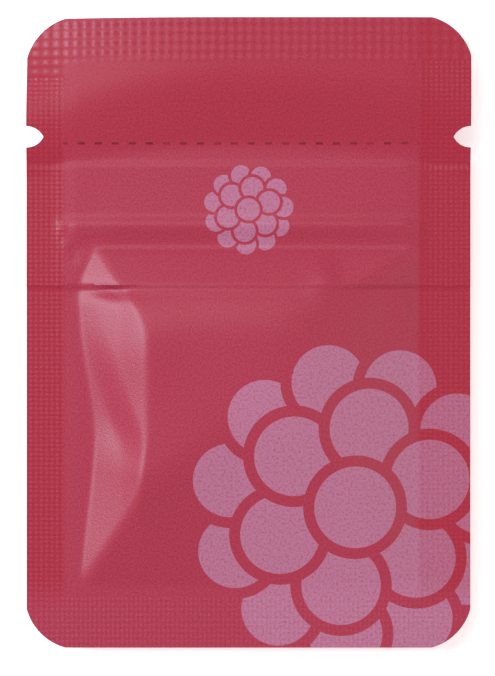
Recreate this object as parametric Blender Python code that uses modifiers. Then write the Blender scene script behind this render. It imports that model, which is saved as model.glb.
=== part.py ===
"""A small flat sachet of printed laminate, sealed on all four sides, that holds three aroma cores.

The sachet lies on its back: +Z is the printed front, +Y the end that tears open, X its width.
The origin is under the middle of its outline, on the surface that it lies on. Lengths are in metres.

Two sheets of laminate are welded together round their edges. Between them run the two strips of a
press-to-close zip, one with a rib and one with a groove, and below the zip lie the three cores:
a plastic sleeve each, with a soaked fibre wick inside it.
"""

import math

import bpy

MM = 0.001

# The outline of both sheets.
WIDTH = 70.5 * MM
HEIGHT = 100.0 * MM
CORNER_LEG = 6.1 * MM
CORNER_RADIUS = 8.8 * MM
NOTCH_DEPTH = 2.75 * MM
NOTCH_MOUTH = 3.4 * MM
NOTCH_Y = 31.1 * MM

# What stands on what. Pieces that touch keep this gap.
GAP = 0.3 * MM
FILM = 0.12 * MM
TAPE = 0.2 * MM
SEAL_Z = 3.9 * MM

# The welded border, up to the edges of the hollow between the sheets.
LEFT_SEAL = 5.9 * MM
RIGHT_SEAL = 8.2 * MM
BOTTOM_SEAL = 9.7 * MM
TOP_SEAL = 6.8 * MM
LEFT_EDGE = LEFT_SEAL - WIDTH / 2
RIGHT_EDGE = WIDTH / 2 - RIGHT_SEAL
BOTTOM_EDGE = BOTTOM_SEAL - HEIGHT / 2
TOP_EDGE = HEIGHT / 2 - TOP_SEAL

# The cores, side by side under the middle of the sheet.
CORE_RADIUS = 3.8 * MM
CORE_LENGTH = 17.5 * MM
CORE_PITCH = 9.0 * MM
CORE_Y = -6.5 * MM
CORE_COUNT = 3
SLEEVE_WALL = 0.8 * MM
SLEEVE_LIP = 0.3 * MM
WICK_INSET = 0.8 * MM
WICK_SOFT_END = 0.4 * MM
ROUND_SIDES = 40

# The zip: a strip welded to each sheet, with a rib that presses into a groove at mid-width.
ZIP_Y = 16.6 * MM
TAPE_WIDTH = 18.7 * MM
TAPE_Y = 17.0 * MM
TAPE_INSET = 2.4 * MM
ZIP_HALF_DEPTH = 0.65 * MM
RIB_STEM = 0.4 * MM
RIB_HEAD = 0.8 * MM
RIB_REACH = 0.9 * MM
JAW_SPAN = 1.4 * MM
JAW_MOUTH = 1.0 * MM
JAW_WALL = 0.35 * MM
JAW_REACH = 0.95 * MM
JAW_HOOK = 0.2 * MM

# How the sheets leave the seal: over the cores they make flat facets, each with a foot and a slope.
# The back sheet would hang a little lower than the surface it lies on, and so it is pressed flat.
FRONT_SWELL = CORE_RADIUS * 2 + 2 * GAP + FILM - SEAL_Z
PRESSED_FLAT = 0.3 * MM
BACK_SWELL = SEAL_Z - FILM + PRESSED_FLAT
LEFT_FOOT = LEFT_EDGE + 2.3 * MM
RIGHT_FOOT = RIGHT_EDGE - 0.5 * MM
TOP_FOOT = 13.9 * MM
CORNER_FOOT = 36.75 * MM
LEFT_SLOPE = 0.403
RIGHT_SLOPE = 0.281
TOP_SLOPE = 0.42
CORNER_SLOPE = 0.41
BOTTOM_RUN_LEFT = 16.0 * MM
BOTTOM_RUN = 25.5 * MM
BOTTOM_TWIST_START = -17.0 * MM
BOTTOM_TWIST_END = -1.5 * MM
SOFT_RIDGE = 0.7 * MM
SOFT_FOOT = 0.25 * MM

# Half the gap between the sheets at the weld, over the zip's strips and over its rib.
SEAL_HALF_GAP = GAP / 2
TAPE_HALF_GAP = GAP / 2 + TAPE + GAP
ZIP_HALF_GAP = ZIP_HALF_DEPTH + TAPE + GAP
RIDGE_HALF_WIDTH = 1.1 * MM
RIDGE_BLEND = 1.0 * MM
BAND_BLEND = 2.0 * MM

# The meshes of the two sheets: the spacing of their lines, and the margin that is stamped off.
GRID_STEP = 2.9 * MM
SPARE = 2.0 * MM
CUTTER_HALF_DEPTH = 20.0 * MM


def smooth_min(a, b, soft):
    """The lower of two heights, with the crease between them rounded over the height soft."""
    near = max(soft - abs(a - b), 0.0) / soft
    return min(a, b) - near * near * soft / 4


def smooth_step(start, end, value):
    """0 before start, 1 after end, and an S-curve between them."""
    share = min(max((value - start) / (end - start), 0.0), 1.0)
    return share * share * (3 - 2 * share)


def bottom_run(x):
    """How far from the bottom seal the sheet reaches its full height: nearer on the left."""
    share = (x - BOTTOM_TWIST_START) / (BOTTOM_TWIST_END - BOTTOM_TWIST_START)
    share = min(max(share, 0.0), 1.0)
    return BOTTOM_RUN_LEFT + (BOTTOM_RUN - BOTTOM_RUN_LEFT) * share


def swell(x, y):
    """How far the front sheet rises over the cores: the lowest of its facets, like a hipped roof."""
    facets = (
        (x - LEFT_FOOT) * LEFT_SLOPE,
        (RIGHT_FOOT - x) * RIGHT_SLOPE,
        (y - BOTTOM_EDGE) * FRONT_SWELL / bottom_run(x),
        (TOP_FOOT - y) * TOP_SLOPE,
        (x - y + CORNER_FOOT) / math.sqrt(2) * CORNER_SLOPE,
    )
    height = FRONT_SWELL
    for facet in facets:
        height = smooth_min(height, facet, SOFT_RIDGE)
    return -smooth_min(-height, 0.0, SOFT_FOOT)


def zip_half_gap(x, y):
    """Half the gap between the sheets that the zip needs, apart from what the cores need."""
    across = smooth_step(LEFT_EDGE, LEFT_EDGE + BAND_BLEND, x)
    across *= smooth_step(RIGHT_EDGE, RIGHT_EDGE - BAND_BLEND, x)
    top = TAPE_Y + TAPE_WIDTH / 2
    along = smooth_step(top + BAND_BLEND + GAP, top + GAP, y)
    along *= smooth_step(TAPE_Y - TAPE_WIDTH / 2 - BAND_BLEND, TAPE_Y - TAPE_WIDTH / 2, y)
    off_ridge = smooth_step(RIDGE_HALF_WIDTH, RIDGE_HALF_WIDTH + RIDGE_BLEND, abs(y - ZIP_Y))
    band = TAPE_HALF_GAP - SEAL_HALF_GAP
    ridge = ZIP_HALF_GAP - TAPE_HALF_GAP
    return SEAL_HALF_GAP + across * along * (band + (1 - off_ridge) * ridge)


def front_height(x, y):
    """The height of the front sheet's inner face."""
    return SEAL_Z + zip_half_gap(x, y) + swell(x, y)


def back_height(x, y):
    """The height of the back sheet's inner face, which is flat where it lies on the surface."""
    return max(SEAL_Z - zip_half_gap(x, y) - swell(x, y) * BACK_SWELL / FRONT_SWELL, FILM)


def under_front(x, y):
    """The top of the zip strip that lies against the front sheet."""
    return front_height(x, y) - GAP


def over_back(x, y):
    """The underside of the zip strip that lies against the back sheet."""
    return back_height(x, y) + GAP


def linked(obj, collection):
    """Moves an object into a collection and out of all others."""
    for other in list(obj.users_collection):
        other.objects.unlink(obj)
    collection.objects.link(obj)
    return obj


def material(name, colour, roughness, metallic=0.0):
    """A plain Principled finish."""
    made = bpy.data.materials.new(name)
    made.use_nodes = True
    shader = made.node_tree.nodes["Principled BSDF"]
    shader.inputs["Base Color"].default_value = (*colour, 1.0)
    shader.inputs["Roughness"].default_value = roughness
    shader.inputs["Metallic"].default_value = metallic
    made.diffuse_color = (*colour, 1.0)
    return made


def arc_points(centre, radius, start, end, count):
    """Points along an arc, its ends included, with angles in radians."""
    angles = [start + (end - start) * i / (count - 1) for i in range(count)]
    return [(centre[0] + radius * math.cos(a), centre[1] + radius * math.sin(a)) for a in angles]


def corner_points(turn):
    """One punched corner, an arc flatter than a tangent quarter circle, for the quarter turn given.

    It runs anticlockwise. The corner is drawn top right and turned into place.
    """
    leg = CORNER_LEG
    half_chord = leg / math.sqrt(2)
    back = math.sqrt(CORNER_RADIUS**2 - half_chord**2)
    middle = -leg / 2 - back / math.sqrt(2)
    opening = math.asin(half_chord / CORNER_RADIUS)
    arc = arc_points((middle, middle), CORNER_RADIUS, math.pi / 4 - opening, math.pi / 4 + opening, 7)
    signs = ((1, 1), (-1, 1), (-1, -1), (1, -1))[turn]
    placed = [(signs[0] * (WIDTH / 2 + x), signs[1] * (HEIGHT / 2 + y)) for x, y in arc]
    return placed if turn % 2 == 0 else placed[::-1]


def notch_points():
    """The right-hand tear notch, bottom to top: two arcs that meet in a blunt point."""
    half = NOTCH_MOUTH / 2
    radius = (NOTCH_DEPTH**2 + half**2) / (2 * half)
    angle = math.asin(NOTCH_DEPTH / radius)
    side = WIDTH / 2
    lower = arc_points(
        (side, NOTCH_Y - half + radius), radius, -math.pi / 2, -math.pi / 2 - angle, 5
    )
    upper = [(x, 2 * NOTCH_Y - y) for x, y in reversed(lower)]
    return lower + upper[1:]


def outline_points():
    """The sheets' outline, anticlockwise from the lower right corner."""
    right = notch_points()
    left = [(-x, y) for x, y in reversed(right)]
    return (
        corner_points(3) + right + corner_points(0) + corner_points(1) + left + corner_points(2)
    )


def outline_cutter(name, helpers):
    """A deep prism of the sheets' outline."""
    curve = bpy.data.curves.new(name, "CURVE")
    curve.dimensions = "2D"
    curve.fill_mode = "BOTH"
    curve.extrude = CUTTER_HALF_DEPTH
    points = outline_points()
    spline = curve.splines.new("POLY")
    spline.points.add(len(points) - 1)
    for point, (x, y) in zip(spline.points, points):
        point.co = (x, y, 0, 1)
    spline.use_cyclic_u = True
    drawn = linked(bpy.data.objects.new(name + "_curve", curve), helpers)
    return as_mesh(drawn, name, helpers)


def as_mesh(obj, name, collection):
    """The evaluated shape of an object as a new mesh object, which replaces it."""
    bpy.context.view_layer.update()
    graph = bpy.context.evaluated_depsgraph_get()
    mesh = bpy.data.meshes.new_from_object(obj.evaluated_get(graph))
    made = bpy.data.objects.new(name, mesh)
    made.matrix_world = obj.matrix_world.copy()
    bpy.data.objects.remove(obj)
    linked(made, collection)
    weld(made)
    return made


def weld(obj):
    """Joins vertices that lie on each other and turns all faces outwards."""
    bpy.ops.object.select_all(action="DESELECT")
    obj.select_set(True)
    bpy.context.view_layer.objects.active = obj
    bpy.ops.object.mode_set(mode="EDIT")
    bpy.ops.mesh.select_all(action="SELECT")
    bpy.ops.mesh.remove_doubles(threshold=0.00001)
    bpy.ops.mesh.normals_make_consistent(inside=False)
    bpy.ops.object.mode_set(mode="OBJECT")


def hide_helper(obj):
    obj.hide_render = True
    obj.display_type = "WIRE"


def marked_lines(start, end, marks):
    """Places from start to end, one at every mark and the rest spread evenly between marks."""
    stops = sorted({start, end, *(mark for mark in marks if start < mark < end)})
    places = [start]
    for low, high in zip(stops, stops[1:]):
        count = max(round((high - low) / GRID_STEP), 1)
        places += [low + (high - low) * i / count for i in range(1, count + 1)]
    return places


def sheet_columns():
    """The lines across the sheets, with one at each end of the zip strips."""
    edge = WIDTH / 2 + SPARE
    return marked_lines(-edge, edge, (LEFT_EDGE, tape_left(), 0, tape_right(), RIGHT_EDGE))


def sheet_rows():
    """The lines along the sheets, closer together where they step over the zip."""
    edge = HEIGHT / 2 + SPARE
    tape = (TAPE_Y - TAPE_WIDTH / 2, TAPE_Y + TAPE_WIDTH / 2)
    beyond = (tape[0] - BAND_BLEND, tape[1] + GAP, tape[1] + GAP + BAND_BLEND)
    steps = (RIDGE_HALF_WIDTH, RIDGE_HALF_WIDTH + RIDGE_BLEND / 2, RIDGE_HALF_WIDTH + RIDGE_BLEND)
    ridge = [ZIP_Y + side * step for side in (-1, 1) for step in steps]
    return marked_lines(-edge, edge, (BOTTOM_EDGE, TOP_EDGE, *tape, *beyond, *ridge))


def formed_sheet(name, columns, rows, height, thickness, grows, collection):
    """A grid with these columns and rows, pressed to height(x, y) and thickened.

    It grows upwards where grows is 1 and downwards where it is -1.
    """
    across = len(columns) - 1
    along = len(rows) - 1
    bpy.ops.mesh.primitive_grid_add(x_subdivisions=across, y_subdivisions=along, size=1)
    sheet = linked(bpy.context.active_object, collection)
    sheet.name = name
    for vertex in sheet.data.vertices:
        x = columns[round((vertex.co.x + 0.5) * across)]
        y = rows[round((vertex.co.y + 0.5) * along)]
        vertex.co = (x, y, height(x, y))
    shell = sheet.modifiers.new("thickness", "SOLIDIFY")
    shell.thickness = thickness
    shell.offset = grows
    return sheet


def cut_to_outline(sheet, cutter):
    trim = sheet.modifiers.new("outline", "BOOLEAN")
    trim.operation = "INTERSECT"
    trim.object = cutter
    merge = sheet.modifiers.new("flat_areas", "DECIMATE")
    merge.decimate_type = "DISSOLVE"
    merge.angle_limit = math.radians(0.2)


def make_films(parts, cutter, finish):
    """The two printed sheets, each wider than the outline until it is cut."""
    sheets = (("front_film", front_height, 1), ("back_film", back_height, -1))
    for name, height, grows in sheets:
        film = formed_sheet(name, sheet_columns(), sheet_rows(), height, FILM, grows, parts)
        cut_to_outline(film, cutter)
        film.data.materials.append(finish)


def extrusion(name, outline, collection):
    """A bar along X as long as the zip strips, from its outline in (y, z)."""
    curve = bpy.data.curves.new(name, "CURVE")
    curve.dimensions = "2D"
    curve.fill_mode = "BOTH"
    curve.extrude = (tape_right() - tape_left()) / 2
    spline = curve.splines.new("POLY")
    spline.points.add(len(outline) - 1)
    for point, (y, z) in zip(spline.points, outline):
        point.co = (y, z, 0, 1)
    spline.use_cyclic_u = True
    bar = linked(bpy.data.objects.new(name + "_curve", curve), collection)
    bar.rotation_euler = (math.pi / 2, 0, math.pi / 2)
    bar.location = ((tape_right() + tape_left()) / 2, ZIP_Y, SEAL_Z)
    return as_mesh(bar, name, collection)


def tape_left():
    return LEFT_EDGE + TAPE_INSET


def tape_right():
    return RIGHT_EDGE - TAPE_INSET


def rib_outline():
    """The rib: a stem from the front strip with an arrow head that snaps into the groove."""
    root = ZIP_HALF_DEPTH + TAPE / 2
    shoulder = ZIP_HALF_DEPTH - RIB_REACH + RIB_HEAD / 2
    tip = ZIP_HALF_DEPTH - RIB_REACH
    half_stem = RIB_STEM / 2
    half_head = RIB_HEAD / 2
    return [
        (half_stem, root),
        (-half_stem, root),
        (-half_stem, shoulder),
        (-half_head, shoulder),
        (-half_stem, tip),
        (half_stem, tip),
        (half_head, shoulder),
        (half_stem, shoulder),
    ]


def groove_outline():
    """The groove: two jaws on the back strip, each hooked in over the rib's head."""
    root = -ZIP_HALF_DEPTH - TAPE / 2
    floor = -ZIP_HALF_DEPTH + TAPE / 2
    top = -ZIP_HALF_DEPTH + JAW_REACH
    inner = JAW_SPAN / 2
    outer = inner + JAW_WALL
    mouth = JAW_MOUTH / 2
    hook = top - JAW_HOOK
    right = [(outer, root), (outer, hook), (inner, top), (mouth, top), (inner, hook), (inner, floor)]
    return right + [(-y, z) for y, z in reversed(right)]


def make_zip(parts, helpers, finish):
    """The two strips, each following its sheet, with the rib or the groove joined on."""
    columns = [x for x in sheet_columns() if tape_left() <= x <= tape_right()]
    rows = [y for y in sheet_rows() if abs(y - TAPE_Y) <= TAPE_WIDTH / 2 + MM / 1000]
    strips = (
        ("zip_rib_strip", under_front, -1, rib_outline()),
        ("zip_groove_strip", over_back, 1, groove_outline()),
    )
    for name, height, grows, outline in strips:
        strip = formed_sheet(name, columns, rows, height, TAPE, grows, parts)
        bar = extrusion(name + "_bar", outline, helpers)
        hide_helper(bar)
        join = strip.modifiers.new("profile", "BOOLEAN")
        join.operation = "UNION"
        join.object = bar
        strip.data.materials.append(finish)


def turned(name, profile, collection):
    """A round piece along Y from a profile of (radius, distance along the axis)."""
    mesh = bpy.data.meshes.new(name)
    points = [(radius, 0.0, along) for radius, along in profile]
    edges = [(i, (i + 1) % len(points)) for i in range(len(points))]
    mesh.from_pydata(points, edges, [])
    piece = linked(bpy.data.objects.new(name, mesh), collection)
    screw = piece.modifiers.new("turn", "SCREW")
    screw.steps = ROUND_SIDES
    screw.render_steps = ROUND_SIDES
    screw.use_merge_vertices = True
    screw.merge_threshold = 0.00001
    screw.use_normal_calculate = True
    piece.rotation_euler = (math.pi / 2, 0, 0)
    return piece


def sleeve_profile():
    """An open tube with a small chamfer on each rim, outer side first."""
    half = CORE_LENGTH / 2
    outer = CORE_RADIUS
    inner = CORE_RADIUS - SLEEVE_WALL
    lip = SLEEVE_LIP
    return [
        (outer, half - lip),
        (outer, lip - half),
        (outer - lip, -half),
        (inner, -half),
        (inner, half),
        (outer - lip, half),
    ]


def make_wick(name, place, collection):
    """The fibre plug: a cylinder with softened ends, clear of the sleeve all round."""
    bpy.ops.mesh.primitive_cylinder_add(
        vertices=ROUND_SIDES,
        radius=CORE_RADIUS - SLEEVE_WALL - GAP,
        depth=CORE_LENGTH - 2 * WICK_INSET,
        location=place,
        rotation=(math.pi / 2, 0, 0),
    )
    wick = linked(bpy.context.active_object, collection)
    wick.name = name
    soften = wick.modifiers.new("soft_ends", "BEVEL")
    soften.width = WICK_SOFT_END
    soften.segments = 1
    soften.limit_method = "ANGLE"
    soften.angle_limit = math.radians(60)
    return wick


def make_cores(parts, sleeve_finish, wick_finish):
    """Three alike, side by side, lying along the sachet."""
    height = FILM + GAP + CORE_RADIUS
    for number in range(CORE_COUNT):
        place = ((number - (CORE_COUNT - 1) / 2) * CORE_PITCH, CORE_Y, height)
        sleeve = turned(f"core_sleeve_{number + 1}", sleeve_profile(), parts)
        sleeve.location = place
        sleeve.data.materials.append(sleeve_finish)
        wick = make_wick(f"core_wick_{number + 1}", place, parts)
        wick.data.materials.append(wick_finish)


def smooth_round_pieces(parts):
    for piece in parts.objects:
        if piece.name.startswith("core_"):
            piece.data.shade_smooth()
            piece.data.set_sharp_from_angle(angle=math.radians(35))


def main():
    for obj in list(bpy.data.objects):
        bpy.data.objects.remove(obj)
    scene = bpy.context.scene.collection
    parts = bpy.data.collections.new("aroma_core_sachet")
    helpers = bpy.data.collections.new("cutters")
    scene.children.link(parts)
    scene.children.link(helpers)
    film_finish = material("crimson_laminate", (0.41, 0.029, 0.061), 0.38)
    zip_finish = material("zip_plastic", (0.83, 0.82, 0.80), 0.4)
    sleeve_finish = material("sleeve_plastic", (0.86, 0.85, 0.82), 0.45)
    wick_finish = material("wick_fibre", (0.88, 0.80, 0.74), 0.9)
    cutter = outline_cutter("sheet_outline", helpers)
    hide_helper(cutter)
    make_films(parts, cutter, film_finish)
    make_zip(parts, helpers, zip_finish)
    make_cores(parts, sleeve_finish, wick_finish)
    smooth_round_pieces(parts)


main()
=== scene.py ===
# %% [markdown]
# # A small zip sachet
#
# A flat packet of matt printed laminate, 70 mm wide and 100 mm long. Two sheets of film are welded
# together round their edges, a press-to-close zip runs between them, and the pocket below the zip
# swells over three round cores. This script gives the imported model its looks: the films are made
# again as fine meshes, the hidden pieces keep their shapes, and every piece gets its finish.

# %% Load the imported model
import math

import bmesh
import bpy
import numpy as np
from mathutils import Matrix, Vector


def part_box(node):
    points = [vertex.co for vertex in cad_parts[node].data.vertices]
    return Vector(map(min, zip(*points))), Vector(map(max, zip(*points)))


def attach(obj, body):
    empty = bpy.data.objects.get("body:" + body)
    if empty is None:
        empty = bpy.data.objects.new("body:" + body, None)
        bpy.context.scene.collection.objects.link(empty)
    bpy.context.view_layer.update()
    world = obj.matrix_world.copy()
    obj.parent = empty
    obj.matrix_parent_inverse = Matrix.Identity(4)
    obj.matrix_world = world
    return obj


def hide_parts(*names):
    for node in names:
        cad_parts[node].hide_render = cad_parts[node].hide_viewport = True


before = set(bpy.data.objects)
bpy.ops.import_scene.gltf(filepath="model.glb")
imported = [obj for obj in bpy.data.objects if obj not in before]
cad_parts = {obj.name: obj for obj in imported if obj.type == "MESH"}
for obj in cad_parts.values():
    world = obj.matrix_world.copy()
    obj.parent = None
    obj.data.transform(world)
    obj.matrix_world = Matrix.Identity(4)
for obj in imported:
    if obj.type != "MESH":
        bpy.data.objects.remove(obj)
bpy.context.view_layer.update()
print("nodes:", ", ".join(sorted(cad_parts)))

# %% [markdown]
# Blender measures in metres, and a sachet is easier to think of in millimetres. The model's own
# box gives the width and the length, so nothing here has to be fitted to it afterwards.

# %% Sizes from the model
MM = 0.001
low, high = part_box("front_film")
WIDTH = (high.x - low.x) / MM
LENGTH = (high.y - low.y) / MM
print(f"the sachet is {WIDTH:.1f} x {LENGTH:.1f} mm")

# %% [markdown]
# ## Camera
#
# The sachet lies on its back and is seen from straight above, with its top end up. A long lens
# from further away keeps the raised pocket from looking larger than the flat seals around it. The
# frame is a little taller than the sachet, and that ratio and the lens give the camera's distance.

# %% Camera straight above
SEAM = 3.9
LENS = 150
SENSOR = 36
FRAME_TO_SACHET = 1.07459
OFF_CENTRE = (-0.159, -0.795)
camera_data = bpy.data.cameras.new("studio_camera")
camera_data.lens = LENS
camera_data.sensor_width = SENSOR
camera = bpy.data.objects.new("studio_camera", camera_data)
bpy.context.scene.collection.objects.link(camera)
distance = FRAME_TO_SACHET * LENGTH * LENS / SENSOR
camera.location = (OFF_CENTRE[0] * MM, OFF_CENTRE[1] * MM, (SEAM + distance) * MM)
bpy.context.scene.camera = camera
print(f"the camera is {distance:.0f} mm above the seam")

# %% [markdown]
# ## Floor and light
#
# Matt film looks flat until something bright is mirrored in its slopes. So half of the light is a
# soft white surround, and the rest comes from softboxes. The key stands about halfway up on the
# left, where only the faces that lean towards it can mirror it, and it is a little blue, as
# daylight is. A weaker one beyond the top end picks out the steps over the zip, and a third fills
# the right side. The floor glows faintly, like a light table, so that the thin sachet throws no
# hard shadow.

# %% Pale floor
FLOOR_GLOW = 0.45


def principled(name, colour, roughness, metallic=0.0):
    """A new material and its shader node."""
    material = bpy.data.materials.new(name)
    material.use_nodes = True
    shader = material.node_tree.nodes["Principled BSDF"]
    shader.inputs["Base Color"].default_value = (*colour, 1)
    shader.inputs["Roughness"].default_value = roughness
    shader.inputs["Metallic"].default_value = metallic
    return material, shader


bpy.ops.mesh.primitive_plane_add(size=4.0, location=(0, 0, -0.0001))
floor = bpy.context.active_object
floor.name = "floor"
floor_material, floor_shader = principled("pale_floor", (0.93, 0.93, 0.93), 0.9)
floor_shader.inputs["Emission Color"].default_value = (1, 1, 1, 1)
floor_shader.inputs["Emission Strength"].default_value = FLOOR_GLOW
floor.data.materials.append(floor_material)
print("floor is", floor.dimensions.x, "m across")

# %% Surround and softboxes
world = bpy.data.worlds.new("white_surround")
world.use_nodes = True
surround = world.node_tree.nodes["Background"]
surround.inputs["Color"].default_value = (1.0, 0.97, 0.95, 1)
surround.inputs["Strength"].default_value = 0.52
bpy.context.scene.world = world
bpy.context.scene.view_settings.view_transform = "Standard"


def softbox(name, azimuth, elevation, away, size, power, colour):
    """A square area light that faces the sachet. Azimuth turns from +X towards +Y."""
    data = bpy.data.lights.new(name, "AREA")
    data.size = size
    data.energy = power
    data.color = colour
    light = bpy.data.objects.new(name, data)
    bpy.context.scene.collection.objects.link(light)
    turn, lift = math.radians(azimuth), math.radians(elevation)
    flat = away * math.cos(lift)
    light.location = (flat * math.cos(turn), flat * math.sin(turn), away * math.sin(lift))
    light.rotation_euler = (math.pi / 2 - lift, 0, turn + math.pi / 2)


DAYLIGHT, WHITE, WARM = (0.62, 0.86, 1.0), (1.0, 1.0, 1.0), (1.0, 0.98, 0.96)
softbox("key_softbox", azimuth=166, elevation=43.5, away=0.9, size=0.27, power=6.5, colour=DAYLIGHT)
softbox("top_softbox", azimuth=108, elevation=60, away=0.9, size=0.30, power=1.2, colour=WHITE)
softbox("fill_softbox", azimuth=-5, elevation=45, away=0.9, size=0.50, power=0.9, colour=WARM)

# %% [markdown]
# ## The sheet before it is formed
#
# A pouch machine lays two webs of film together, welds them between heated jaws and stamps out
# the outline. The mesh is made the same way: a flat grid, cut to the outline, and only then
# pressed into shape. The grid's lines are spaced to the crimp that the jaws leave in the weld:
# two lines to each tooth, so that every tooth becomes a little pyramid with four flat sides.

# %% Grid lines that follow the crimp
LEFT_SEAL, RIGHT_SEAL, BOTTOM_SEAL, TOP_SEAL = 5.9, 8.2, 9.7, 6.8
LEFT_EDGE = LEFT_SEAL - WIDTH / 2
RIGHT_EDGE = WIDTH / 2 - RIGHT_SEAL
BOTTOM_EDGE = BOTTOM_SEAL - LENGTH / 2
TOP_EDGE = LENGTH / 2 - TOP_SEAL
HALF_TOOTH_ACROSS_WELD = 0.42
HALF_TOOTH_ALONG_WELD = 0.365


def grid_lines(bands):
    """Places of the grid lines, from (start, end, step) bands that follow each other."""
    places = [bands[0][0]]
    for start, end, step in bands:
        count = round((end - start) / step)
        places += [start + (end - start) * i / count for i in range(1, count + 1)]
    return np.array(places)


columns = grid_lines([
    (-WIDTH / 2, LEFT_EDGE, HALF_TOOTH_ACROSS_WELD),
    (LEFT_EDGE, RIGHT_EDGE, HALF_TOOTH_ALONG_WELD),
    (RIGHT_EDGE, WIDTH / 2, HALF_TOOTH_ACROSS_WELD),
])
rows = grid_lines([
    (-LENGTH / 2, BOTTOM_EDGE, HALF_TOOTH_ACROSS_WELD),
    (BOTTOM_EDGE, LENGTH / 2, HALF_TOOTH_ALONG_WELD),
])
print(len(columns), "columns and", len(rows), "rows of grid lines")

# %% [markdown]
# The outline is one closed curve: four stamped corners, which are arcs a little flatter than a
# quarter circle, and a tear notch on each side, which is two arcs that meet in a point.

# %% Outline of the sachet
CORNER_LEG = 6.1
CORNER_RADIUS = 8.8
NOTCH_DEPTH = 2.75
NOTCH_MOUTH = 3.4
NOTCH_Y = 31.1


def arc(centre, radius, start, end, count):
    """Points along an arc, angles in radians, with both ends."""
    angles = np.linspace(start, end, count)
    return [(centre[0] + radius * math.cos(a), centre[1] + radius * math.sin(a)) for a in angles]


def corner(sign_x, sign_y):
    """The stamped corner in one quarter of the sheet, anticlockwise."""
    half_chord = CORNER_LEG / math.sqrt(2)
    sagitta_side = math.sqrt(CORNER_RADIUS**2 - half_chord**2)
    middle = -CORNER_LEG / 2 - sagitta_side / math.sqrt(2)
    opening = math.asin(half_chord / CORNER_RADIUS)
    drawn = arc((middle, middle), CORNER_RADIUS, math.pi / 4 - opening, math.pi / 4 + opening, 13)
    placed = [(sign_x * (WIDTH / 2 + x), sign_y * (LENGTH / 2 + y)) for x, y in drawn]
    return placed if sign_x == sign_y else placed[::-1]


def notch():
    """The right tear notch, bottom to top."""
    half = NOTCH_MOUTH / 2
    radius = (NOTCH_DEPTH**2 + half**2) / (2 * half)
    angle = math.asin(NOTCH_DEPTH / radius)
    centre = (WIDTH / 2, NOTCH_Y - half + radius)
    lower = arc(centre, radius, -math.pi / 2, -math.pi / 2 - angle, 9)
    return lower + [(x, 2 * NOTCH_Y - y) for x, y in lower[-2::-1]]


right_notch = notch()
left_notch = [(-x, y) for x, y in right_notch[::-1]]
outline = corner(1, -1) + right_notch + corner(1, 1) + corner(-1, 1) + left_notch + corner(-1, -1)
print(len(outline), "points round the outline")

# %% [markdown]
# A curve can't cut a mesh. So the outline is drawn as a filled curve with some depth, converted to
# a mesh, and its loose caps are merged with its sides. That closed prism is the die.

# %% The die that stamps it
DIE_HALF_DEPTH = 5.0


def select_only(piece):
    """Nothing but this object is selected, and it is the active one."""
    bpy.ops.object.select_all(action="DESELECT")
    piece.select_set(True)
    bpy.context.view_layer.objects.active = piece


def stamping_die():
    """A solid prism of the outline, deep enough to pass through the flat sheet."""
    curve = bpy.data.curves.new("stamping_die", "CURVE")
    curve.dimensions = "2D"
    curve.fill_mode = "BOTH"
    curve.extrude = DIE_HALF_DEPTH * MM
    spline = curve.splines.new("POLY")
    spline.points.add(len(outline) - 1)
    for point, (x, y) in zip(spline.points, outline):
        point.co = (x * MM, y * MM, 0, 1)
    spline.use_cyclic_u = True
    die = bpy.data.objects.new("stamping_die", curve)
    bpy.context.scene.collection.objects.link(die)
    select_only(die)
    bpy.ops.object.convert(target="MESH")
    bpy.ops.object.mode_set(mode="EDIT")
    bpy.ops.mesh.select_all(action="SELECT")
    bpy.ops.mesh.remove_doubles(threshold=1e-6)
    bpy.ops.mesh.normals_make_consistent(inside=False)
    bpy.ops.object.mode_set(mode="OBJECT")
    return die


die = stamping_die()
print("the die has", len(die.data.polygons), "faces")

# %% [markdown]
# The flat sheet is a grid primitive whose lines are moved to their places, and the die cuts it.
# Before it is pressed into shape, its flat coordinates are kept as a UV map, because the film is
# printed flat: the print then bends with the film and never slides over it.

# %% Cut a flat sheet
PRINT_MAP = "printed_flat"


def flat_sheet(name):
    """A flat sheet of film, stamped to the outline, with its print coordinates."""
    across, along = len(columns) - 1, len(rows) - 1
    bpy.ops.object.select_all(action="DESELECT")
    bpy.ops.mesh.primitive_grid_add(x_subdivisions=across, y_subdivisions=along, size=1)
    sheet = bpy.context.active_object
    sheet.name = name
    sheet.data.name = name
    places = np.empty(len(sheet.data.vertices) * 3)
    sheet.data.vertices.foreach_get("co", places)
    places = places.reshape(-1, 3)
    places[:, 0] = columns[np.rint((places[:, 0] + 0.5) * across).astype(int)] * MM
    places[:, 1] = rows[np.rint((places[:, 1] + 0.5) * along).astype(int)] * MM
    sheet.data.vertices.foreach_set("co", places.ravel())
    cut = sheet.modifiers.new("stamp", "BOOLEAN")
    cut.operation = "INTERSECT"
    cut.solver = "EXACT"
    cut.object = die
    select_only(sheet)
    bpy.ops.object.modifier_apply(modifier=cut.name)
    return sheet


def flat_places(sheet):
    """The x and y of every vertex, in millimetres."""
    places = np.empty(len(sheet.data.vertices) * 3)
    sheet.data.vertices.foreach_get("co", places)
    places = places.reshape(-1, 3) / MM
    return places[:, 0], places[:, 1]


def keep_print_coordinates(sheet):
    """A UV map that runs from 0 to 1 over the flat sheet's width and length."""
    while sheet.data.uv_layers:
        sheet.data.uv_layers.remove(sheet.data.uv_layers[0])
    layer = sheet.data.uv_layers.new(name=PRINT_MAP)
    x, y = flat_places(sheet)
    corner_vertex = np.empty(len(sheet.data.loops), dtype=int)
    sheet.data.loops.foreach_get("vertex_index", corner_vertex)
    uv = np.column_stack([x[corner_vertex] / WIDTH + 0.5, y[corner_vertex] / LENGTH + 0.5])
    layer.data.foreach_set("uv", uv.ravel())


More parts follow.
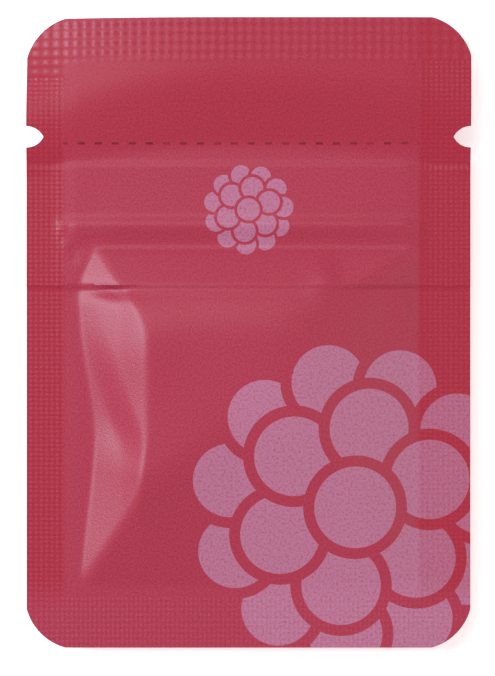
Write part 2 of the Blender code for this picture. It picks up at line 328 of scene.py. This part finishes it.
# %% [markdown]
# ## The shape of the film
#
# Film is stiff: it makes flat facets that meet in soft ridges, not bubbles. So the swell over the
# cores is the lowest of a few sloping planes at every point, like a hipped roof, with the ridges
# rounded. Ramps and bells, each a line of arithmetic on whole arrays, do the rest.

# %% Ramps, bells and soft ridges
def ramp(start, end, value):
    """0 before start, 1 after end, and an S-curve between them. It runs down if start is higher."""
    share = np.clip((value - start) / (end - start), 0, 1)
    return share * share * (3 - 2 * share)


def slide(start, end, value):
    """0 before start, 1 after end, and a straight line between them."""
    return np.clip((value - start) / (end - start), 0, 1)


def bell(centre, width, value):
    """1 at the centre, falling to nearly nothing two widths away."""
    return np.exp(-(((value - centre) / width) ** 2))


def soft_min(first, second, soft):
    """The lower of two heights, with the crease between them rounded."""
    near = np.maximum(soft - np.abs(first - second), 0) / soft
    return np.minimum(first, second) - near * near * soft / 4


def soft_max(first, second, soft):
    """The higher of two heights, rounded in the same way."""
    return -soft_min(-first, -second, soft)


def spots(x, y, rows):
    """Oval bulges and dents, from rows of (x, y, half-width, half-length, height)."""
    return sum(height * bell(u, wide, x) * bell(v, long, y) for u, v, wide, long, height in rows)


# %% [markdown]
# The swell. The left facet's foot bows inwards, which leaves the film less room to climb, so it
# bunches in a steep wedge that runs slantwise down the facet. Too steep to mirror the key, the
# wedge looks dark between two lit strips. A small facet cuts the upper left corner and makes the
# bright triangle just below the zip. The bottom facet is twisted: it is steep under the first core
# and runs out flatter to the right.

# %% Swell over the cores
TAPE_TOP = 26.35
TAPE_BOTTOM = 7.65
PLATEAU = 4.42
LEFT_FOOT = LEFT_EDGE + 2.3
LEFT_CREST = -16.1
RIGHT_FOOT = RIGHT_EDGE - 0.5
TOP_FOOT = 13.9
LEFT_SLOPE, RIGHT_SLOPE, TOP_SLOPE = 0.403, 0.281, 0.42
CORNER_FOOT = (-23.85, 14.4)
CORNER_SLOPES = (0.41, 0.19)
BOTTOM_RUNS = (16.0, 25.5)
BOTTOM_TWIST = (-17.0, -1.5)
FOOT_BOW = 2.6
BOW_MIDDLE, BOW_ABOVE, BOW_BELOW = -16.5, 13.0, 17.0
CREST_DRIFT = 0.7
WEDGE_MIDDLE = (-22.8, -5.9)
WEDGE_SLANT = 0.36
WEDGE_SIDES = (2.4, 2.8)
SHARP_RIDGE = 0.35
SOFT_RIDGE = 0.7
ROUND_RIDGE = 2.0
CROWN, CROWN_MIDDLE, CROWN_REACH = 0.5, -3.0, 17.0


def left_facet(x, y):
    """The facet over the left edge. Where its foot bows inwards, the film bunches in a wedge."""
    foot = LEFT_FOOT + FOOT_BOW * bell(BOW_MIDDLE, np.where(y > BOW_MIDDLE, BOW_ABOVE, BOW_BELOW), y)
    run = LEFT_CREST - foot - CREST_DRIFT * ramp(-15.0, -23.0, y)
    bunched = np.maximum(PLATEAU - LEFT_SLOPE * run, 0) * ramp(-22.0, -13.0, y)
    middle = WEDGE_MIDDLE[0] - (y - WEDGE_MIDDLE[1]) * WEDGE_SLANT
    wedge = ramp(middle - WEDGE_SIDES[0], middle + WEDGE_SIDES[1], x)
    return (x - foot) * (PLATEAU - bunched) / run + bunched * wedge


def corner_facet(x, y):
    """The small facet that cuts the upper left corner, just below the zip."""
    return (x - CORNER_FOOT[0]) * CORNER_SLOPES[0] - (y - CORNER_FOOT[1]) * CORNER_SLOPES[1]


def swell(x, y):
    """How far the film stands above the seam over the cores."""
    bottom_run = np.interp(x, BOTTOM_TWIST, BOTTOM_RUNS)
    round_ridge = SOFT_RIDGE + (ROUND_RIDGE - SOFT_RIDGE) * ramp(TAPE_BOTTOM, TAPE_BOTTOM - 2, y)
    height = np.full_like(x, PLATEAU)
    for plane, soft in (
        ((RIGHT_FOOT - x) * RIGHT_SLOPE, round_ridge),
        ((TOP_FOOT - y) * TOP_SLOPE, round_ridge),
        (left_facet(x, y), SHARP_RIDGE),
        ((y - BOTTOM_EDGE) * PLATEAU / bottom_run, SOFT_RIDGE),
        (corner_facet(x, y), SHARP_RIDGE),
    ):
        height = soft_min(height, plane, soft)
    height = soft_max(height, np.zeros_like(x), 0.2)
    crown = CROWN * (1 - np.clip((x - CROWN_MIDDLE) / CROWN_REACH, -1, 1) ** 2)
    return height * (1 + crown / PLATEAU)


# %% [markdown]
# Planes alone look too neat. Where real film is slack it bulges or dents by a few tenths of a
# millimetre, so a few oval bells are laid over the planes.

# %% Slack places
SLACK_SPOTS = (
    (-17.0, -2.0, 6.5, 6.5, 0.50),
    (11.9, 8.9, 2.2, 2.8, 0.36),
    (15.3, -17.3, 3.0, 3.0, -0.10),
)
SLANTED_SPOT = (24.6, 3.6, 1.9, 4.0, 0.32)
SPOT_SLANT = 0.35


def soft_spots(x, y):
    """Shallow bulges and a dent where the film is slack. The one on the right lies slantwise."""
    return spots(x, y, SLACK_SPOTS) + spots(x + SPOT_SLANT * (y - 4), y, (SLANTED_SPOT,))


# %% [markdown]
# The zip. Two strips are welded across the sachet, and their edges show as small steps through
# the film and through the side welds. From the flap the film leans up towards the rib, steps over
# it, and falls into a channel below. It follows the strips closely, so the steps are short.

# %% Steps and ridge over the zip
TAPE_LIFT = 0.42
WELDED_TAPE_LIFT = 0.24
LEAN = 0.05
LEAN_START, LEAN_ARCH = 30.4, 1.2
HALF_SPAN = 29.0
RIB_LIFT, RIB_SPREAD = 0.50, 0.10
RIDGE_TOP = 17.9
CHANNEL_BOTTOM = 13.5
LEDGE, LEDGE_LIFT = 12.9, 0.07


def zip_band(x, y):
    """How far the zip's strips and its rib lift the film."""
    inside = slide(LEFT_EDGE - 1.8, LEFT_EDGE + 2.0, x) * slide(RIGHT_EDGE + 1.8, RIGHT_EDGE - 2.0, x)
    middle = ramp(LEFT_EDGE - 0.5, LEFT_EDGE + 9, x) * ramp(RIGHT_EDGE + 0.5, RIGHT_EDGE - 9, x)
    lower_edge = ramp(TAPE_BOTTOM - 0.8, TAPE_BOTTOM, y)
    tape = TAPE_LIFT * ramp(TAPE_TOP + 1.2, TAPE_TOP + 0.1, y) * lower_edge
    step_in_weld = WELDED_TAPE_LIFT * ramp(TAPE_TOP + 0.4, TAPE_TOP - 0.4, y) * lower_edge
    step_up = ramp(RIDGE_TOP + 1.1, RIDGE_TOP - 0.9, y)
    fall = ramp(CHANNEL_BOTTOM - 0.4, RIDGE_TOP - 0.5, y)
    above = LEAN_START - LEAN_ARCH * (x / HALF_SPAN) ** 2 - y
    lean_up = LEAN * soft_max(above, np.zeros_like(y), 0.8) * (0.3 + 0.7 * middle) * fall
    ledge = LEDGE_LIFT * ramp(LEDGE + 0.4, LEDGE - 0.4, y) * ramp(TAPE_BOTTOM, LEDGE - 1.5, y)
    rib = (RIB_LIFT * step_up + RIB_SPREAD) * fall
    over_strips = soft_max(tape, lean_up, 0.25) + rib + ledge
    return (1 - inside) * step_in_weld + inside * over_strips


# %% [markdown]
# At its ends the flattened rib leaves small crumples. Along the strips' lower edge the film folds
# down in a crease, which is sharpest at the left. There a hollow opens below it, wider to the
# right, where the film turns from the corner facet into the left one.

# %% Crumples and the lower crease
CRUMPLES = (
    (-28.9, 13.9, 0.9, 0.8, 0.16),
    (-27.6, 12.1, 0.8, 1.0, -0.14),
    (-29.6, 16.9, 0.6, 0.9, 0.12),
    (-25.4, 14.6, 1.2, 0.7, -0.10),
    (25.6, 13.2, 1.1, 0.9, 0.12),
    (24.2, 17.2, 1.3, 0.6, 0.10),
)
CREASE_DEPTH, DEEPER_AT_LEFT = 0.05, 0.11
CREASE_REACH = 1.15
HOLLOW_DEPTH = 0.55
HOLLOW_MIDDLE, HOLLOW_HALF_WIDTH = -21.3, 3.0
HOLLOW_FLARE = 0.17


def crease(x, y):
    """The fold below the zip's strips, along the whole pocket."""
    inside = ramp(LEFT_EDGE, LEFT_EDGE + 2, x) * ramp(RIGHT_EDGE, RIGHT_EDGE - 2, x)
    depth = CREASE_DEPTH + DEEPER_AT_LEFT * ramp(-13.0, -20.0, x)
    return -depth * inside * bell(TAPE_BOTTOM - 1.1, CREASE_REACH, y)


def hollow(x, y):
    """The dent under the left end of the crease. It stays clear of the strips above it."""
    reach = np.maximum(0.7 + HOLLOW_FLARE * (x + 26.0), 0.5)
    across = bell(HOLLOW_MIDDLE, HOLLOW_HALF_WIDTH, x)
    along = bell(TAPE_BOTTOM - 0.7, reach, y) * ramp(TAPE_BOTTOM, TAPE_BOTTOM - 0.7, y)
    return -HOLLOW_DEPTH * across * along


# %% [markdown]
# The flap above the zip isn't flat either. It bends up from a valley that arches across the
# sachet, flattens out under the wide crimp, and its upper left corner droops.

# %% Bend of the flap
VALLEY, VALLEY_ARCH = 30.0, 3.4
FLAP_SLOPE, FLAP_RUN = 0.22, 10.0
DROOP_START, DROOP_SLOPE = 41.5, 0.05
CORNER_DROOP = 0.0038


def flap(x, y):
    """How far the end above the zip bends away from the seam's plane."""
    valley = VALLEY - VALLEY_ARCH * (x / HALF_SPAN) ** 2
    climb = soft_max(y - valley, np.zeros_like(y), 0.9)
    rise = FLAP_SLOPE * soft_min(climb, np.full_like(y, FLAP_RUN), 2.5)
    top_droop = DROOP_SLOPE * soft_max(y - DROOP_START, np.zeros_like(y), 3.0)
    corner_droop = CORNER_DROOP * np.maximum(-x - 4, 0) ** 2 * ramp(28, 48, y)
    return rise - top_droop - corner_droop


# %% [markdown]
# The crimp. Each point's place is counted in grid lines, so the teeth fall exactly on them. The
# side and bottom jaws have fine teeth, and the jaw that closes the end has teeth twice as wide.

# %% Crimped welds
FINE_TOOTH = 0.035
WIDE_TOOTH = 0.11
WIDE_CORNER = 41.0
PLAIN_BELOW_POCKET = 1.6
WELD_EDGE = 0.3
SHALLOWER_AT_RIGHT = 0.45


def weld_share(x, y):
    """1 on the weld and 0 off it, with a narrow edge: first the fine crimp, then the wide one."""
    left = ramp(LEFT_EDGE + WELD_EDGE, LEFT_EDGE - WELD_EDGE, x)
    right = ramp(RIGHT_EDGE - WELD_EDGE, RIGHT_EDGE + WELD_EDGE, x)
    crimp_top = BOTTOM_EDGE - PLAIN_BELOW_POCKET
    bottom = ramp(crimp_top + WELD_EDGE, crimp_top - WELD_EDGE, y)
    top = ramp(TOP_EDGE - WELD_EDGE, TOP_EDGE + WELD_EDGE, y)
    wide = np.maximum(top, left * ramp(WIDE_CORNER - 1, WIDE_CORNER, y))
    fine = np.maximum(np.maximum(left, right), bottom) * (1 - wide)
    return fine, wide


def crimp(x, y):
    """The height of the jaws' teeth."""
    column = np.interp(x, columns, np.arange(len(columns)))
    row = np.interp(y, rows, np.arange(len(rows)))
    fine, wide = weld_share(x, y)
    fine_teeth = (np.cos(math.pi * column) + np.cos(math.pi * row)) / 2
    wide_teeth = (np.cos(math.pi * column / 2) + np.cos(math.pi * row / 2)) / 2
    pressed = 1 - SHALLOWER_AT_RIGHT * ramp(-25, 15, x)
    return FINE_TOOTH * fine * fine_teeth + WIDE_TOOTH * pressed * wide * wide_teeth


# %% [markdown]
# All of these add up to two heights over each point, one for each film's outer face. The back
# hangs a little less than the front rises, and it is flat where the sachet lies on it.

# %% The two outer surfaces
FILM = 0.12
WELD_GAP = 0.04
BACK_SHARE = 0.93
BACK_ZIP_SHARE = 0.95


def front_surface(x, y):
    """The height of the front film's outer face."""
    over_cores = swell(x, y) + soft_spots(x, y)
    over_zip = zip_band(x, y) + crease(x, y) + hollow(x, y) + spots(x, y, CRUMPLES)
    return SEAM + WELD_GAP / 2 + FILM + over_cores + over_zip + flap(x, y) + crimp(x, y)


def back_surface(x, y):
    """The height of the back film's outer face."""
    hang = swell(x, y) * BACK_SHARE + zip_band(x, y) * BACK_ZIP_SHARE
    formed = SEAM - WELD_GAP / 2 - FILM - hang + flap(x, y) + crimp(x, y)
    return soft_max(formed, np.zeros_like(x), 0.3)


# %% [markdown]
# ## Making the films
#
# Pressing is one assignment of heights. Solidify then gives the film its thickness towards the
# inside of the sachet, and the inner side, which nobody sees, is thinned out. The faces of the fine
# crimp are shaded flat, because each side of a tooth is flat, and the rest is shaded smooth.

# %% Press, thicken and shade
INSIDE_KEPT = 0.6


def press(sheet, surface):
    """Lifts every vertex to the formed surface."""
    x, y = flat_places(sheet)
    places = np.column_stack([x, y, surface(x, y)]) * MM
    sheet.data.vertices.foreach_set("co", places.ravel())
    sheet.data.update()


def thicken(sheet):
    """Adds the inner side of the film and thins out its mesh."""
    inner = sheet.vertex_groups.new(name="inner_side")
    shell = sheet.modifiers.new("film", "SOLIDIFY")
    shell.thickness = FILM * MM
    shell.offset = -1
    shell.material_offset = 1
    shell.shell_vertex_group = inner.name
    thin_out = sheet.modifiers.new("thin_out_inside", "DECIMATE")
    thin_out.vertex_group = inner.name
    thin_out.ratio = INSIDE_KEPT
    select_only(sheet)
    bpy.ops.object.modifier_apply(modifier=shell.name)
    bpy.ops.object.modifier_apply(modifier=thin_out.name)


def shade(sheet):
    """Smooth faces, apart from the outer sides of the fine teeth."""
    bpy.ops.object.shade_smooth_by_angle(angle=math.radians(40))
    mesh = sheet.data
    centres = np.empty(len(mesh.polygons) * 3)
    mesh.polygons.foreach_get("center", centres)
    centres = centres.reshape(-1, 3) / MM
    fine, _ = weld_share(centres[:, 0], centres[:, 1])
    mesh.polygons.foreach_set("use_smooth", fine < 0.5)
    mesh.update()


def make_film(name, surface, faces_down):
    """One film, from the flat sheet to the finished piece."""
    sheet = flat_sheet(name)
    keep_print_coordinates(sheet)
    press(sheet, surface)
    if faces_down:
        select_only(sheet)
        bpy.ops.object.mode_set(mode="EDIT")
        bpy.ops.mesh.select_all(action="SELECT")
        bpy.ops.mesh.flip_normals()
        bpy.ops.object.mode_set(mode="OBJECT")
    thicken(sheet)
    shade(sheet)
    triangles = sum(len(face.vertices) - 2 for face in sheet.data.polygons)
    print(f"{name}: {triangles} triangles")
    return sheet


front = make_film("front_laminate_film", front_surface, faces_down=False)
back = make_film("back_laminate_film", back_surface, faces_down=True)
bpy.data.objects.remove(die)

# %% [markdown]
# ## Finishes
#
# The laminate is a printed polyester with a matt coat over a foil. Its colour is even, with a
# fine grain in the coat that softens every reflection.

# %% Node helpers
class Wiring:
    """Short ways to add and link a node tree's nodes."""

    def __init__(self, tree):
        self.tree = tree

    def node(self, kind, **settings):
        made = self.tree.nodes.new(kind)
        for key, value in settings.items():
            setattr(made, key, value)
        return made

    def link(self, source, target):
        """Links a socket, or sets a plain value."""
        if isinstance(source, bpy.types.NodeSocket):
            self.tree.links.new(source, target)
        else:
            target.default_value = source

    def math(self, operation, *values):
        made = self.node("ShaderNodeMath", operation=operation)
        for socket, value in zip(made.inputs, values):
            self.link(value, socket)
        return made.outputs[0]

    def mix(self, share, first, second):
        """A colour between two, as share goes from 0 to 1. A Mix node's colours are sockets 6, 7 and 2."""
        made = self.node("ShaderNodeMix", data_type="RGBA")
        self.link(share, made.inputs["Factor"])
        self.link(first, made.inputs[6])
        self.link(second, made.inputs[7])
        return made.outputs[2]

    def share(self, value, start, end):
        """0 where the value is at start and below, 1 at end and above, smooth between."""
        made = self.node("ShaderNodeMapRange", interpolation_type="SMOOTHSTEP")
        self.link(value, made.inputs["Value"])
        made.inputs["From Min"].default_value = start
        made.inputs["From Max"].default_value = end
        return made.outputs["Result"]

    def tint(self, colour, factor):
        """The colour, lightened or darkened."""
        made = self.node("ShaderNodeVectorMath", operation="MULTIPLY")
        self.link(colour, made.inputs[0])
        made.inputs[1].default_value = factor
        return made.outputs["Vector"]

    def noise(self, vector, scale, detail=2.0, roughness=0.5):
        made = self.node("ShaderNodeTexNoise")
        self.link(vector, made.inputs["Vector"])
        made.inputs["Scale"].default_value = scale
        made.inputs["Detail"].default_value = detail
        made.inputs["Roughness"].default_value = roughness
        return made.outputs["Fac"]


# %% [markdown]
# The printed berry is a cluster of round cells that overlap like roof tiles: one in the middle,
# a ring of six round it and a wider ring behind. A cell hides what lies behind it, and a gap is
# left round it. In nodes that is two comparisons of the distance to each cell, worked from the
# back of the cluster to its front.

# %% Berry of round cells
CELL_GAP = 0.27
RINGS = ((1, 0.0, 0.0, 1.0), (6, 1.95, 20.0, 0.97), (11, 3.12, 4.0, 0.90))


def berry_cells():
    """The middle and radius of each cell, front to back, in units of the first cell's radius."""
    cells = []
    for count, reach, turn, radius in RINGS:
        for i in range(count):
            angle = math.radians(turn + 360 * i / count)
            cells.append((reach * math.cos(angle), reach * math.sin(angle), radius))
    return cells


def berry_group():
    """A node group that takes a place, in cell radii from the middle, and gives 1 on a cell."""
    group = bpy.data.node_groups.new("berry_of_round_cells", "ShaderNodeTree")
    group.interface.new_socket("Place", in_out="INPUT", socket_type="NodeSocketVector")
    group.interface.new_socket("Ink", in_out="OUTPUT", socket_type="NodeSocketFloat")
    wiring = Wiring(group)
    place = wiring.node("NodeGroupInput").outputs["Place"]
    ink = 0.0
    for x, y, radius in reversed(berry_cells()):
        far = wiring.node("ShaderNodeVectorMath", operation="DISTANCE")
        wiring.link(place, far.inputs[0])
        far.inputs[1].default_value = (x, y, 0)
        around = wiring.math("LESS_THAN", far.outputs["Value"], radius + CELL_GAP)
        on_cell = wiring.math("LESS_THAN", far.outputs["Value"], radius)
        ink = wiring.math("MAXIMUM", wiring.math("SUBTRACT", ink, around), on_cell)
    wiring.link(ink, wiring.node("NodeGroupOutput").inputs["Ink"])
    return group


berry = berry_group()
print(len(berry_cells()), "cells in the berry")

# %% [markdown]
# Colour, print and grain all read the flat print map. The welds and the flap get a deeper tone, which
# is painted shade for the sheen they mirror less of. The ink is a thin coat, and the grain of the film
# speckles it. The tear line is a row of short dashes, some of them fainter than others.

# %% Matt laminate
CRIMSON = (0.412, 0.0285, 0.061)
# The weld crimson is painted shade: a deeper tone for the welds and the flap, which mirror less light.
SHADED_WELD_CRIMSON = (0.395, 0.0150, 0.0375)
PINK_INK = (0.480, 0.158, 0.258)
# The weld pink ink is painted shade in the same way, for the ink on the welds and the flap.
SHADED_WELD_PINK_INK = (0.445, 0.118, 0.200)
SCORE_RED = (0.15, 0.003, 0.010)
LAMINATE_ROUGHNESS = 0.38
LAMINATE_SPECULAR = 0.35
GRAIN_DARK, GRAIN_LIGHT = (0.91, 0.58, 0.65), (1.09, 1.42, 1.35)
GRAIN_SCALE, SPECKLE_SCALE = 3.4, 2.8
GRAIN_HEIGHT = 0.00008
POCKET_MIDDLE, POCKET_HALF = (LEFT_EDGE + RIGHT_EDGE) / 2, (RIGHT_EDGE - LEFT_EDGE) / 2
BIG_BERRY, SMALL_BERRY = ((16.9, -27.6), 6.5), ((0.0, 19.6), 1.78)
SCORE_Y, SCORE_HALF_WIDTH = 30.1, 0.19
DASH_PITCH, DASH_SHARE = 2.7, 0.42
# How much of the painted weld shade the flap and the top end get.
FLAP_SHADE = 0.6


def flat_millimetres(wiring):
    """The place on the flat sheet, in millimetres from its middle."""
    uv = wiring.node("ShaderNodeUVMap", uv_map=PRINT_MAP)
    mapping = wiring.node("ShaderNodeMapping")
    mapping.inputs["Scale"].default_value = (WIDTH, LENGTH, 1)
    mapping.inputs["Location"].default_value = (-WIDTH / 2, -LENGTH / 2, 0)
    wiring.link(uv.outputs["UV"], mapping.inputs["Vector"])
    return mapping.outputs["Vector"]


def printed_berry(wiring, place, middle, cell_radius):
    """1 where a berry of this size and place is printed."""
    mapping = wiring.node("ShaderNodeMapping")
    mapping.inputs["Scale"].default_value = (1 / cell_radius, 1 / cell_radius, 0)
    mapping.inputs["Location"].default_value = (-middle[0] / cell_radius, -middle[1] / cell_radius, 0)
    wiring.link(place, mapping.inputs["Vector"])
    group = wiring.node("ShaderNodeGroup", node_tree=berry)
    wiring.link(mapping.outputs["Vector"], group.inputs["Place"])
    return group.outputs["Ink"]


def tear_line(wiring, place):
    """1 on the dashes of the score line between the notches."""
    parts = wiring.node("ShaderNodeSeparateXYZ")
    wiring.link(place, parts.inputs["Vector"])
    x, y = parts.outputs["X"], parts.outputs["Y"]
    off_line = wiring.math("ABSOLUTE", wiring.math("SUBTRACT", y, SCORE_Y))
    on_line = wiring.math("LESS_THAN", off_line, SCORE_HALF_WIDTH)
    along = wiring.math("FRACT", wiring.math("DIVIDE", wiring.math("ADD", x, LENGTH), DASH_PITCH))
    on_dash = wiring.math("LESS_THAN", along, DASH_SHARE)
    between_welds = wiring.math("COMPARE", x, POCKET_MIDDLE, POCKET_HALF)
    uneven = wiring.math("MULTIPLY_ADD", wiring.noise(place, 0.35), 1.6, -0.1)
    dashes = wiring.math("MULTIPLY", wiring.math("MULTIPLY", on_line, on_dash), between_welds)
    return wiring.math("MULTIPLY", dashes, uneven)


def weld_and_flap_shade(wiring, place):
    """1 in the side welds and less on the flap: painted shade, a deeper tone where the film mirrors less
    light.
    """
    parts = wiring.node("ShaderNodeSeparateXYZ")
    wiring.link(place, parts.inputs["Vector"])
    x, y = parts.outputs["X"], parts.outputs["Y"]
    off_middle = wiring.math("ABSOLUTE", wiring.math("SUBTRACT", x, POCKET_MIDDLE))
    side = wiring.share(wiring.math("SUBTRACT", off_middle, POCKET_HALF), -0.4, 0.4)
    side = wiring.math("MULTIPLY", side, wiring.share(y, BOTTOM_EDGE - 4, BOTTOM_EDGE + 2))
    on_flap = wiring.math("MULTIPLY", wiring.share(y, 27.5, 31.0), FLAP_SHADE)
    return wiring.math("MAXIMUM", side, on_flap)


def laminate(name, printed):
    """Crimson laminate with a fine grain, with or without the front's print."""
    material, shader = principled(name, CRIMSON, LAMINATE_ROUGHNESS)
    shader.inputs["Specular IOR Level"].default_value = LAMINATE_SPECULAR
    wiring = Wiring(material.node_tree)
    place = flat_millimetres(wiring)
    grain = wiring.noise(place, GRAIN_SCALE, detail=2.0, roughness=0.7)
    weld = weld_and_flap_shade(wiring, place)
    # Painted shade: the welds and the flap are made a deeper crimson, for the sheen they mirror less of.
    colour = wiring.mix(weld, (*CRIMSON, 1), (*SHADED_WELD_CRIMSON, 1))
    patches = wiring.share(grain, 0.28, 0.72)
    colour = wiring.mix(patches, wiring.tint(colour, GRAIN_DARK), wiring.tint(colour, GRAIN_LIGHT))
    if printed:
        big, small = (printed_berry(wiring, place, *spot) for spot in (BIG_BERRY, SMALL_BERRY))
        ink = wiring.math("MAXIMUM", big, small)
        # Painted shade: the ink on the welds and the flap is made a deeper pink too.
        pink = wiring.mix(weld, (*PINK_INK, 1), (*SHADED_WELD_PINK_INK, 1))
        speckle = wiring.math("MULTIPLY_ADD", wiring.noise(place, SPECKLE_SCALE, detail=1.0), 2.0, -0.1)
        colour = wiring.mix(wiring.math("MULTIPLY", ink, speckle), colour, pink)
        colour = wiring.mix(tear_line(wiring, place), colour, (*SCORE_RED, 1))
    wiring.link(colour, shader.inputs["Base Color"])
    rough = wiring.math("MULTIPLY_ADD", grain, 0.12, LAMINATE_ROUGHNESS - 0.06)
    wiring.link(rough, shader.inputs["Roughness"])
    bump = wiring.node("ShaderNodeBump")
    bump.inputs["Strength"].default_value = 0.5
    bump.inputs["Distance"].default_value = GRAIN_HEIGHT
    wiring.link(grain, bump.inputs["Height"])
    wiring.link(bump.outputs["Normal"], shader.inputs["Normal"])
    return material


printed_laminate = laminate("printed_laminate", printed=True)
plain_laminate = laminate("plain_laminate", printed=False)
print("laminate nodes:", len(printed_laminate.node_tree.nodes))

# %% [markdown]
# The inner side of the laminate is a foil. It is rolled, so its fine streaks run one way.

# %% Foil on the inner side
FOIL_GREY, FOIL_SILVER = (0.72, 0.72, 0.74), (0.86, 0.86, 0.87)
STREAK_SCALE = (6.0, 0.4, 1)


def rolled_foil():
    """Foil whose tone and gloss vary along its streaks."""
    material, shader = principled("rolled_foil", (0.80, 0.80, 0.82), 0.34, metallic=0.9)
    wiring = Wiring(material.node_tree)
    place = flat_millimetres(wiring)
    mapping = wiring.node("ShaderNodeMapping")
    mapping.inputs["Scale"].default_value = STREAK_SCALE
    wiring.link(place, mapping.inputs["Vector"])
    streaks = wiring.noise(mapping.outputs["Vector"], 1.0, detail=3.0)
    wiring.link(wiring.math("MULTIPLY_ADD", streaks, 0.2, 0.25), shader.inputs["Roughness"])
    colour = wiring.mix(streaks, (*FOIL_GREY, 1), (*FOIL_SILVER, 1))
    wiring.link(colour, shader.inputs["Base Color"])
    return material


foil = rolled_foil()
for film, finish in ((front, printed_laminate), (back, plain_laminate)):
    film.data.materials.append(finish)
    film.data.materials.append(foil)
print("foil nodes:", len(foil.node_tree.nodes))

# %% [markdown]
# The pieces inside are carried over from the model and only need their finishes: milky plastic
# for the zip and the sleeves, and packed fibre for the wicks.

# %% Milky plastic
CLOUD_SCALE = 400.0


def moulded_plastic(name, colour, roughness, cloudiness):
    """Plastic with faint cloudy tones and a slightly uneven gloss."""
    material, shader = principled(name, colour, roughness)
    shader.inputs["Subsurface Weight"].default_value = 0.15
    shader.inputs["Subsurface Scale"].default_value = 0.0005
    wiring = Wiring(material.node_tree)
    place = wiring.node("ShaderNodeTexCoord").outputs["Object"]
    cloud = wiring.noise(place, CLOUD_SCALE, detail=3.0)
    darker = tuple(c * (1 - cloudiness) for c in colour)
    wiring.link(wiring.mix(cloud, (*darker, 1), (*colour, 1)), shader.inputs["Base Color"])
    wiring.link(wiring.math("MULTIPLY_ADD", cloud, 0.2, roughness - 0.1), shader.inputs["Roughness"])
    return material


# %% Packed fibre
FIBRE_SHADE, FIBRE_PALE = (0.70, 0.60, 0.55), (0.93, 0.87, 0.82)
FIBRE_SCALE = (6000, 500, 6000)
FIBRE_HEIGHT = 0.0002


def packed_fibre():
    """Fibres that lie along the wick, stretched noise in colour and bump."""
    material, shader = principled("packed_fibre", (0.88, 0.80, 0.74), 0.9)
    wiring = Wiring(material.node_tree)
    mapping = wiring.node("ShaderNodeMapping")
    mapping.inputs["Scale"].default_value = FIBRE_SCALE
    wiring.link(wiring.node("ShaderNodeTexCoord").outputs["Object"], mapping.inputs["Vector"])
    fibres = wiring.noise(mapping.outputs["Vector"], 1.0, detail=4.0)
    wiring.link(wiring.mix(fibres, (*FIBRE_SHADE, 1), (*FIBRE_PALE, 1)), shader.inputs["Base Color"])
    bump = wiring.node("ShaderNodeBump")
    bump.inputs["Distance"].default_value = FIBRE_HEIGHT
    wiring.link(fibres, bump.inputs["Height"])
    wiring.link(bump.outputs["Normal"], shader.inputs["Normal"])
    return material


# %% Finishes of the pieces inside
inside_finishes = {
    "zip_": moulded_plastic("zip_polyethylene", (0.84, 0.83, 0.81), 0.38, 0.06),
    "core_sleeve": moulded_plastic("sleeve_plastic", (0.86, 0.85, 0.82), 0.42, 0.08),
    "core_wick": packed_fibre(),
}
for node_name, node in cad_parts.items():
    for start, finish in inside_finishes.items():
        if node_name.startswith(start):
            node.data.materials.clear()
            node.data.materials.append(finish)
            print(node_name, "gets", finish.name)

# %% [markdown]
# ## Handing the pieces over
#
# Each film stands for its plain solid in the model and moves with the one body there is.

# %% Join the films to the model
for film, node_name in ((front, "front_film"), (back, "back_film")):
    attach(film, "root")
    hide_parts(node_name)
